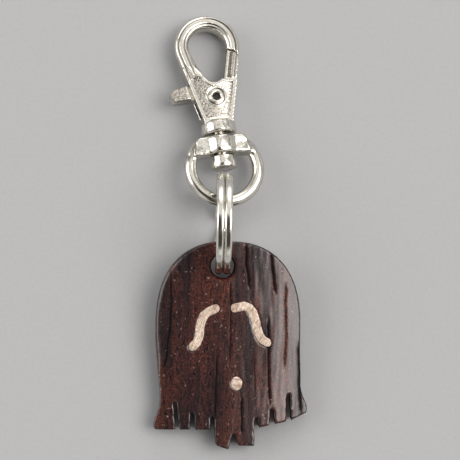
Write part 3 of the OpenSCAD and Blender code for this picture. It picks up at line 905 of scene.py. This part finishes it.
@dataclass
class GateLever:
    """The sprung gate with its thumb tab."""

    edge_foot: tuple = (3.0, 9.8)
    gate_width: float = 2.5
    shoulder_up: float = 18.3
    tab_left: float = -5.4
    grid: float = 0.09
    passes: int = 5
    finish: Plating = Plating("lever nickel", bright=(0.62, 0.595, 0.54, 1), polish=0.11, dulling=0.16)

    def build(self, lean: float) -> bpy.types.Object:
        """Builds the gate and dresses it.

        Args:
            lean: Angle by which the cheek's edge leans, in radians.

        Returns:
            The finished piece.
        """
        shell = softened("gate_lever", self.grid, self.passes)
        local, facing = CLASP.inward(shell.points), shell.normals() @ CLASP.axes
        u, v, w = local.T
        inward = -((u - self.edge_foot[0]) * math.cos(lean) - (v - self.edge_foot[1]) * math.sin(lean))
        strip = smooth(self.shoulder_up, self.shoulder_up + 0.8, v) * (u > 0)
        front = smooth(0.4, 0.75, np.abs(facing[:, 2]))
        groove = bell(inward - 0.1 - 0.6 * self.gate_width, 0.34) * strip * front
        seam = bell(inward - 0.1 - 0.2 * self.gate_width, 0.12) * strip * front
        tab = 1 - smooth(self.tab_left - 0.3, self.tab_left, u)
        lumps = rough(local, 0.3, 11) + 0.6 * rough(local, 0.17, 12)
        face = tab * smooth(0.75, 0.92, np.abs(facing[:, 2]))
        beads = strip * smooth(0.5, 0.8, facing[:, 0])
        flank = tab * smooth(0.5, 0.85, -facing[:, 1]) * bell(np.abs(w) - 0.9, 0.2)
        move = -0.3 * groove - 0.14 * seam + 0.05 * lumps * face + 0.09 * beads * rough(local, 0.5, 13)
        move += 0.05 * groove * lumps - 0.15 * flank
        shell.swell(move)
        # Painted shade: the groove, the seam and the groove along the tab's flank are painted darker, and the
        # strip a little. The tab's face is darker, most of all in its pits.
        gate_pits_and_shade = 0.12 * strip + 0.85 * groove + 0.7 * seam + 0.8 * flank
        gate_pits_and_shade += face * (0.55 + 0.45 * smooth(0.1, 0.7, -lumps))
        shell.mark("pit_and_shade", gate_pits_and_shade)
        shell.mark("grain", face + 0.4 * groove + 0.3 * beads)
        return show("gate", shell.mesh("gate"), "gate", "gate_lever", self.finish)


@dataclass
class PivotRivet:
    """The hollow rivet that the gate turns on, rolled over at both ends."""

    radius: float = 1.0
    bore: float = 0.725
    flare: float = 1.45
    flare_depth: float = 0.3
    half_length: float = 2.3
    finish: Plating = Plating("rivet nickel", bright=(0.84, 0.80, 0.72, 1), polish=0.08, dulling=0.12)

    def profile(self) -> list:
        """Returns the rolled tube's outline as radius and height, from the low end up its outside."""
        half, lip = self.half_length, self.flare_depth
        crown = (self.bore + self.flare) / 2
        upper = [
            (self.radius, half), (self.flare, half), (self.flare - 0.03, half + 0.5 * lip),
            (crown + 0.18, half + 0.97 * lip), (crown - 0.1, half + 0.98 * lip),
            (self.bore + 0.1, half + 0.55 * lip), (self.bore, half - 0.2),
        ]
        lower = [(radius, -height) for radius, height in reversed(upper)]
        return lower + upper

    def build(self) -> bpy.types.Object:
        """Builds the rivet and dresses it.

        Returns:
            The finished piece.
        """
        shell = spun(rounded_profile(self.profile(), 0.07, True), 72, Place(pivot("gate"), CLASP.axes))
        return show("rivet", shell.mesh("rivet"), "hook", "pivot_rivet", self.finish)


@dataclass
class GateSpring:
    """The torsion spring round the rivet, in the slot of the hook."""

    wire: float = 0.3
    mean_radius: float = 1.3
    turns: float = 3.0
    leg: float = 1.5
    low: float = 0.04
    rise: float = 0.48
    finish: Plating = Plating(
        "spring steel", bright=(0.42, 0.41, 0.40, 1), dim=(0.3, 0.29, 0.28, 1), polish=0.2
    )

    def build(self) -> bpy.types.Object:
        """Builds the spring and dresses it.

        Returns:
            The finished piece.
        """
        height = self.rise + self.wire
        middle = pivot("gate") + CLASP.axes[:, 2] * (self.low + height / 2)
        settings = {
            "Steps": 260, "Radius": self.mean_radius * MM, "First Angle": math.radians(240),
            "Sweep": math.radians(360 * self.turns - 300), "Rise": self.rise * MM,
            "Rise Start": 0.0, "Rise End": 1.0, "Ease": 0.0, "Leg": self.leg * MM,
            "Wire Depth": self.wire * MM, "Wire Height": 0.8 * self.wire * MM,
            "Edge Radius": 0.45 * self.wire * MM, "Finish": self.finish.build(),
        }
        made = wound(COIL, settings, Place(middle, CLASP.axes))
        return show("spring", made, "hook", "gate_spring")


@dataclass
class SwivelStud:
    """The turned stud that holds the eye to the hook, with a headed end inside the eye."""

    shank: float = 1.3
    head: float = 2.55
    head_low: float = -0.3
    head_high: float = 2.3
    top: float = 9.2
    finish: Plating = Plating("stud nickel", polish=0.12, dulling=0.18, grain=3.0)

    def build(self) -> bpy.types.Object:
        """Builds the stud and dresses it.

        Returns:
            The finished piece.
        """
        low, high = self.head_low, self.head_high
        corners = [
            (0.0, low + 0.02), (0.7 * self.head, low), (self.head - 0.12, low + 0.28), (self.head, low + 0.9),
            (self.head, high), (self.shank, high), (self.shank, self.top), (0.0, self.top),
        ]
        profile = rounded_profile(corners, 0.2, False)
        fine: list = [profile[0]]
        for here, there in zip(profile[:-1], profile[1:]):
            cuts = max(1, int(math.dist(here, there) / 0.16))
            for i in range(1, cuts + 1):
                t = i / cuts
                fine.append((here[0] + t * (there[0] - here[0]), here[1] + t * (there[1] - here[1])))
        fine[-1] = (0.0, self.top)
        up = Place(CLASP.origin, np.column_stack([CLASP.axes[:, 2], CLASP.axes[:, 0], CLASP.axes[:, 1]]))
        shell = spun(fine, 112, up)
        local, facing = CLASP.inward(shell.points), shell.normals() @ CLASP.axes
        # The head is hammered: flats round its side and a torn end
        turn = np.arctan2(local[:, 0], local[:, 2])
        side = smooth(0.5, 0.9, np.hypot(facing[:, 0], facing[:, 2]))
        side *= 1 - smooth(high - 0.5, high - 0.1, local[:, 1])
        end = smooth(0.3, 0.8, -facing[:, 1])
        flats = -0.03 * side * (0.5 + 0.5 * np.sin(4 * turn + 0.8)) ** 2 + 0.02 * side * rough(local, 0.9, 23)
        torn = rough(local, 0.5, 21) + 0.5 * rough(local, 0.22, 22)
        move = flats - 0.1 * end * np.abs(torn) - 0.02 * side
        shell.swell(move)
        shell.mark("pit_and_shade", 0.8 * end * smooth(0.1, 0.7, np.abs(torn)))
        shell.mark("grain", 0.7 * end)
        return show("stud", shell.mesh("stud"), "hook", "swivel_stud", self.finish)


@dataclass
class SwivelEye:
    """The cast eye: a round wire with hammered shoulders and a boss for the stud."""

    shoulder_low: float = 2.7
    grid: float = 0.1
    passes: int = 4
    proudest: float = 0.1
    finish: Plating = Plating("eye nickel", polish=0.08, dulling=0.12)

    def build(self) -> bpy.types.Object:
        """Builds the eye and dresses it.

        Returns:
            The finished piece.
        """
        shell = softened("swivel_eye", self.grid, self.passes)
        local = CLASP.inward(shell.points)
        u, v, w = local.T
        band = smooth(self.shoulder_low - 1.2, self.shoulder_low + 0.3, v)
        bore = smooth(1.5, 2.0, np.hypot(u, w))
        shell.ease(0.5 * band * bore, 70)
        hammer = rough(local, 1.6, 31)
        grain = rough(local, 0.35, 32)
        move = band * bore * (0.15 * hammer + 0.012 * grain) + 0.006 * rough(local, 1.1, 33)
        shell.swell(np.minimum(move, self.proudest))
        pit_and_shade = 0.45 * smooth(0.2, 0.6, -hammer) + 0.2 * smooth(0.3, 0.6, -grain)
        shell.mark("pit_and_shade", band * pit_and_shade)
        shell.mark("grain", 0.2 * band)
        return show("eye", shell.mesh("eye"), "eye", "swivel_eye", self.finish)


# ---- Split ring ----


@dataclass
class SplitRing:
    """Two turns of flattened wire that cross from one side to the other at the bottom."""

    outer: float = 10.0
    wire: float = 1.8
    coil: float = 1.54
    gap: float = 0.06
    crossing: float = 34.0
    edge: float = 0.5
    finish: Plating = Plating(
        "ring nickel", bright=(0.80, 0.775, 0.72, 1), polish=0.1, dulling=0.1, patch=0.35
    )

    def build(self) -> bpy.types.Object:
        """Builds the ring and dresses it.

        Returns:
            The finished piece.
        """
        # The coil's Z lies along the model's X; its angles start at the lowest point, towards +Y
        axes = np.array([[0.0, 0.0, 1.0], [0.0, 1.0, 0.0], [-1.0, 0.0, 0.0]])
        half = self.crossing / 2
        sweep = 720 - self.crossing
        settings = {
            "Steps": 520, "Radius": (self.outer - self.wire / 2) * MM,
            "First Angle": math.radians(half), "Sweep": math.radians(sweep),
            "Rise": (self.coil + self.gap) * MM,
            "Rise Start": (360 - self.crossing) / sweep, "Rise End": 360 / sweep, "Ease": 1.0,
            "Leg": 0.0, "Wire Depth": self.wire * MM, "Wire Height": self.coil * MM,
            "Edge Radius": self.edge * MM, "Finish": self.finish.build(),
        }
        made = wound(COIL, settings, Place(pivot("pendant_slide"), axes))
        return show("ring", made, "ring", "split_ring")


# ---- Pendant ----


def plate_place(hole_drop: float) -> tuple[Place, float]:
    """Finds the wooden plate's frame from its flat back and its crown.

    Args:
        hole_drop: Distance from the crown down to the hole's middle.

    Returns:
        The frame, with X across, Y up the plate and Z out of its front, with its origin in the
        middle of the hole's height, and the plate's pitch in radians.
    """
    made = frame["nodes"]["pendant"].data
    back = np.zeros(3)
    for polygon in made.polygons:
        if polygon.normal.z < -0.98:
            back += polygon.area * np.array(polygon.normal)
    front = -unit(back)
    across = np.array([1.0, 0.0, 0.0])
    axes = np.column_stack([across, np.cross(front, across), front])
    points = np.array([vertex.co for vertex in made.vertices]) / MM
    local = points @ axes
    middle = (local[:, 2].min() + local[:, 2].max()) / 2
    hole_x = pivot("pendant_slide")[0]
    origin = axes @ np.array([hole_x, local[:, 1].max() - hole_drop, middle])
    return Place(origin, axes), math.atan2(-axes[1, 2], axes[2, 2])


@dataclass
class Pendant:
    """The carved plate of dark wood, with its cracks, its fringe and its pale inlays."""

    hole_drop: float = 5.0
    hole_left: float = 1.3
    plate_grid: float = 0.2
    inlay_grid: float = 0.1
    passes: int = 5
    inlay_spread: float = 0.12
    inlay_proud: float = 0.04
    heart: tuple = (0.0026, 0.0012, 0.0019, 1)
    figure: tuple = (0.027, 0.0103, 0.0123, 1)
    flame: tuple = (0.145, 0.036, 0.019, 1)
    pale: tuple = ((0.28, 0.18, 0.13, 1), (0.78, 0.65, 0.54, 1), (0.86, 0.75, 0.64, 1))
    # Each crack: its line, its half width and its depth
    cracks: tuple = (
        (((0.2, -2.9), (0.45, -7.5), (0.6, -12.1), (0.5, -19.4)), 0.1, 0.22),
        (((-11.5, -1.0), (-11.35, -7.0), (-11.5, -12.3), (-12.1, -18.5), (-12.9, -21.5)), 0.12, 0.3),
        (((-1.9, -17.2), (-2.15, -23.0), (-2.2, -29.9)), 0.11, 0.25),
        (((3.1, 4.6), (3.5, 2.2), (3.3, 0.2), (3.9, -1.8), (4.2, -4.4)), 0.13, 0.32),
        (((8.4, 3.0), (8.7, -0.5), (9.3, -5.2)), 0.12, 0.28),
        (((8.0, -10.1), (8.2, -17.0), (8.3, -22.0), (8.5, -27.2)), 0.11, 0.28),
        (((14.2, -14.8), (14.5, -22.0), (14.85, -29.1)), 0.12, 0.2),
        (((3.05, -26.2), (3.2, -33.1)), 0.12, 0.3),
        (((-8.2, 2.5), (-7.9, -3.0), (-8.1, -7.0)), 0.08, 0.14),
        (((-7.0, -21.0), (-7.3, -25.5)), 0.08, 0.14),
        (((5.4, -17.5), (5.6, -24.5)), 0.07, 0.12),
        (((11.3, -3.0), (11.6, -13.0), (11.4, -20.0)), 0.08, 0.12),
    )
    # Each redder streak: its line, its half width and its strength. The broad one from (10.6, 1.0) down the
    # right is painted sheen of the lacquer, not a streak.
    embers_and_sheen: tuple = (
        (((5.8, -1.5), (6.2, -15.5), (6.2, -27.5)), 1.0, 0.95),
        (((-1.2, -4.0), (-1.0, -9.5)), 1.6, 0.5),
        (((-12.1, -20.5), (-12.2, -27.8), (-12.4, -32.0)), 1.0, 0.9),
        (((-3.4, -2.5), (-3.7, -9.0)), 0.5, 0.35),
        (((-9.6, -3.0), (-9.4, -14.0), (-9.8, -24.0)), 0.6, 0.3),
        (((11.8, -20.0), (12.3, -29.0)), 0.7, 0.4),
        (((10.6, 1.0), (11.4, -12.0), (11.6, -29.0)), 2.1, 0.6),
        (((0.0, 3.5), (0.6, -2.0)), 1.4, 0.3),
        (((9.2, -13.0), (9.4, -27.0)), 0.7, 0.5),
    )

    def carving(self, local: np.ndarray) -> np.ndarray:
        """Measures how the hand-smoothed front rises and falls.

        Args:
            local: Points in the plate's frame.

        Returns:
            Millimetres outward for each point.
        """
        return 0.09 * rough(local, 5.0, 43, (0.8, 2.5, 2)) + 0.02 * rough(local, 0.8, 44, (1, 6, 1)) - 0.05

    def build(self) -> bpy.types.Object:
        """Builds the plate and dresses it.

        Returns:
            The finished piece.
        """
        place, pitch = plate_place(self.hole_drop)
        shell = softened("pendant", self.plate_grid, self.passes)
        local = place.inward(shell.points) - [self.hole_left, 0, 0]
        facing = shell.normals() @ place.axes
        rim = (1 - smooth(0.8, 0.97, np.abs(facing[:, 2]))) * smooth(-21, -19, local[:, 1])
        rim *= smooth(8, 9, np.hypot(local[:, 0] + self.hole_left, local[:, 1] + 10))
        shell.ease(0.5 * rim, 16)
        # The left edge is worn further in
        handled = rim * (1 - smooth(-9, -5, local[:, 0]))
        for _ in range(7):
            wider = handled.copy()
            for here, there in ((0, 1), (1, 0)):
                np.maximum.at(wider, shell.edges[:, here], 0.93 * handled[shell.edges[:, there]])
            handled = wider
        shell.ease(0.5 * handled, 34)
        local = place.inward(shell.points) - [self.hole_left, 0, 0]
        facing = shell.normals() @ place.axes
        front = smooth(0.3, 0.7, facing[:, 2])
        flat = local[:, :2]
        waver = np.column_stack([0.16 * rough(local, 2.2, 41, (1, 1, 40)), np.zeros(len(flat))])
        sink = np.zeros(len(flat))
        black = np.zeros(len(flat))
        matte = np.zeros(len(flat))
        # Each crack is sunk a little and painted near black as shade inside it. A wider band round it loses
        # its coat.
        for line, width, depth in self.cracks:
            gap, share = from_line(flat + waver, line)
            ends = 0.35 + 0.65 * between(share, 0.0, 0.12, 0.88, 1.0)
            sink = np.maximum(sink, 0.5 * depth * bell(gap, 1.2 * width) * ends)
            black = np.maximum(black, 4.5 * depth * bell(gap, 1.7 * width) * ends)
            matte = np.maximum(matte, 1.5 * bell(gap, 4.2 * width) * ends)
        sink *= front
        glow = np.zeros(len(flat))
        for line, width, weight in self.embers_and_sheen:
            gap, _ = from_line(flat + 2 * waver, line)
            glow = np.maximum(glow, weight * bell(gap, width))
        glow *= 0.6 + 0.4 * rough(local, 0.5, 42, (1, 14, 1))
        move = -sink + self.carving(local) * front
        shell.swell(move)
        # The walls of the hole and of the slots between the fringe's teeth are painted dark as shade.
        hole = np.hypot(local[:, 0] + self.hole_left, local[:, 1])
        painted_hole_shade = (1 - smooth(2.9, 3.2, hole)) * (1 - smooth(0.35, 0.75, np.abs(facing[:, 2])))
        walls = 1 - smooth(0.3, 0.75, np.abs(facing[:, 2]))
        fringe = (1 - smooth(-20.5, -19.5, flat[:, 1])) * (np.abs(flat[:, 0]) < 13.2)
        painted_hole_shade = np.maximum(painted_hole_shade, 0.85 * walls * fringe)
        shell.mark("crack_and_hole_shade", np.maximum(black * front, painted_hole_shade))
        rubbed = 0.9 * (1 - smooth(3.0, 3.5, hole))
        shell.mark("matte", np.maximum.reduce([matte * front, painted_hole_shade, rubbed]))
        shell.mark("ember_and_sheen", glow)
        finish = Timber("dark wood", self.heart, self.figure, self.flame, pitch)
        return show("plate", shell.mesh("plate"), "pendant", "pendant", finish)

    def inlay(self, node: str, along: Along) -> bpy.types.Object:
        """Builds one pale inlay and dresses it.

        Args:
            node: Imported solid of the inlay.
            along: Direction of its fibres.

        Returns:
            The finished piece.
        """
        place, pitch = plate_place(self.hole_drop)
        shell = softened(node, self.inlay_grid, self.passes)
        local = place.inward(shell.points) - [self.hole_left, 0, 0]
        facing = shell.normals() @ place.axes
        side = 1 - smooth(0.3, 0.8, np.abs(facing[:, 2]))
        top = smooth(0.3, 0.7, facing[:, 2])
        move = side * (self.inlay_spread + 0.1 * rough(local, 0.9, 51))
        move += top * (self.carving(local) + self.inlay_proud)
        shell.swell(move)
        finish = Timber(
            "pale wood of " + node, *self.pale, pitch,
            along, figure=0.9, fibre=2.6, pores=0.7, relief=0.02, coat=0.25,
        )
        return show(node + "_skin", shell.mesh(node + "_skin"), "pendant", node, finish)


# ---- Studio ----


@dataclass
class Studio:
    """A pale floor, soft light and a camera that looks almost straight down."""

    target: tuple = (-0.764, -0.865, 8.0)
    lean_left: float = 1.547
    lean_near: float = 8.273
    roll: float = -0.985
    distance: float = 350.0
    focal: float = 1755.07 / 460 * 36
    floor_grey: tuple = (0.377, 0.384, 0.393, 1)
    floor_reach: float = 3.0
    lamp_spot: tuple = (0.1, 0.35, 0.5)
    lamp_size: float = 0.6
    lamp_power: float = 0.5
    lamp_tint: tuple = (1.0, 0.98, 0.95)
    walls: tuple = ((0.33, 0.32, 0.30, 1), (0.80, 0.795, 0.77, 1))
    # Each patch of the room: its direction, its outer and inner angle, and its colour
    patches: tuple = (
        ((0.0, -0.7, 0.7), 30, 14, (0.06, 0.052, 0.045, 1)),
        ((-0.16, -0.15, 0.97), 25, 12, (0.06, 0.053, 0.048, 1)),
        ((0.1, 0.9, 0.42), 24, 12, (1.7, 1.7, 1.7, 1)),
        ((-0.82, 0.15, 0.5), 27, 14, (3.3, 3.2, 3.2, 1)),
        ((0.57, 0.03, 0.82), 25, 15, (6.4, 6.1, 5.9, 1)),
    )

    def camera(self) -> None:
        """Makes the camera and looks through it."""
        toward = unit([-math.tan(math.radians(self.lean_left)), -math.tan(math.radians(self.lean_near)), 1])
        up = [math.sin(math.radians(self.roll)), math.cos(math.radians(self.roll)), 0]
        right = unit(np.cross(-toward, up))
        axes = np.column_stack([right, np.cross(toward, right), toward])
        spot = (np.array(self.target) + toward * self.distance) * MM
        lens = bpy.data.cameras.new("camera")
        lens.sensor_width = 36.0
        lens.lens = self.focal
        lens.clip_start = 0.01
        lens.clip_end = 20.0
        seen = bpy.data.objects.new("camera", lens)
        seen.matrix_world = Matrix.Translation(Vector(spot)) @ Matrix(axes.tolist()).to_4x4()
        bpy.context.scene.collection.objects.link(seen)
        bpy.context.scene.camera = seen

    def floor(self) -> None:
        """Lays the floor under the keychain."""
        made = bpy.data.meshes.new("floor")
        far = self.floor_reach
        made.from_pydata([(-far, -far, 0), (far, -far, 0), (far, far, 0), (-far, far, 0)], [], [(0, 1, 2, 3)])
        surface, graph, shader = new_material("floor card")
        where = graph.stretched(graph.add("ShaderNodeTexCoord").outputs["Object"], PER_MM)
        speck = graph.ease(graph.noise(where, 1.4, 4.0), 0.3, 0.7)
        dark = tuple(0.965 * c for c in self.floor_grey[:3]) + (1,)
        graph.join(graph.blend(speck, dark, self.floor_grey), shader, "Base Color")
        graph.fill(shader, {"Roughness": 0.75, "Specular IOR Level": 0.25})
        made.materials.append(surface)
        laid = bpy.data.objects.new("floor", made)
        bpy.context.scene.collection.objects.link(laid)

    def light(self) -> None:
        """Hangs the one soft light, which faces the keychain."""
        lamp = bpy.data.lights.new("window", "AREA")
        lamp.shape = "SQUARE"
        lamp.size = self.lamp_size
        lamp.energy = self.lamp_power
        lamp.color = self.lamp_tint
        hung = bpy.data.objects.new("window", lamp)
        hung.location = self.lamp_spot
        hung.rotation_euler = Vector(self.lamp_spot).to_track_quat("Z", "Y").to_euler()
        bpy.context.scene.collection.objects.link(hung)

    def room(self) -> None:
        """Surrounds the scene with a room: soft grey, brighter windows and a darker ceiling patch."""
        world = bpy.data.worlds.new("room")
        world.use_nodes = True
        world.node_tree.nodes.clear()
        graph = Graph(world.node_tree)
        toward = graph.add("ShaderNodeTexCoord").outputs["Generated"]

        def patch(way: tuple, edge: float, core: float) -> Socket:
            """Returns 1 within core degrees of a direction and 0 beyond edge degrees."""
            ends = {0: toward, 1: tuple(unit(way))}
            near = graph.add("ShaderNodeVectorMath", ends, operation="DOT_PRODUCT").outputs["Value"]
            return graph.ease(near, math.cos(math.radians(edge)), math.cos(math.radians(core)))

        speckle = graph.ease(graph.noise(toward, 2.6, 3.0), 0.36, 0.64)
        colour = graph.blend(speckle, *self.walls)
        for way, edge, core, tint in self.patches:
            colour = graph.blend(patch(way, edge, core), colour, tint)
        light = graph.add("ShaderNodeBackground", {"Color": colour, "Strength": 1.0})
        graph.add("ShaderNodeOutputWorld", {"Surface": light.outputs[0]})
        bpy.context.scene.world = world

    def build(self) -> None:
        """Builds the whole studio."""
        self.camera()
        self.floor()
        self.room()
        self.light()
        bpy.context.scene.view_settings.view_transform = "Standard"


def main() -> None:
    """Builds every piece in order, then the studio."""
    logging.basicConfig(level=logging.INFO, format="%(name)s: %(message)s")
    hook = HookBody()
    hook.build()
    GateLever().build(hook.lean)
    pendant = Pendant()
    for part in (PivotRivet(), GateSpring(), SwivelStud(), SwivelEye(), SplitRing(), pendant):
        part.build()
    for side in ("left", "right"):
        pendant.inlay("inlay_" + side, Along.LEANING)
    pendant.inlay("inlay_dot", Along.ACROSS)
    Studio().build()


if __name__ == "__main__":
    main()
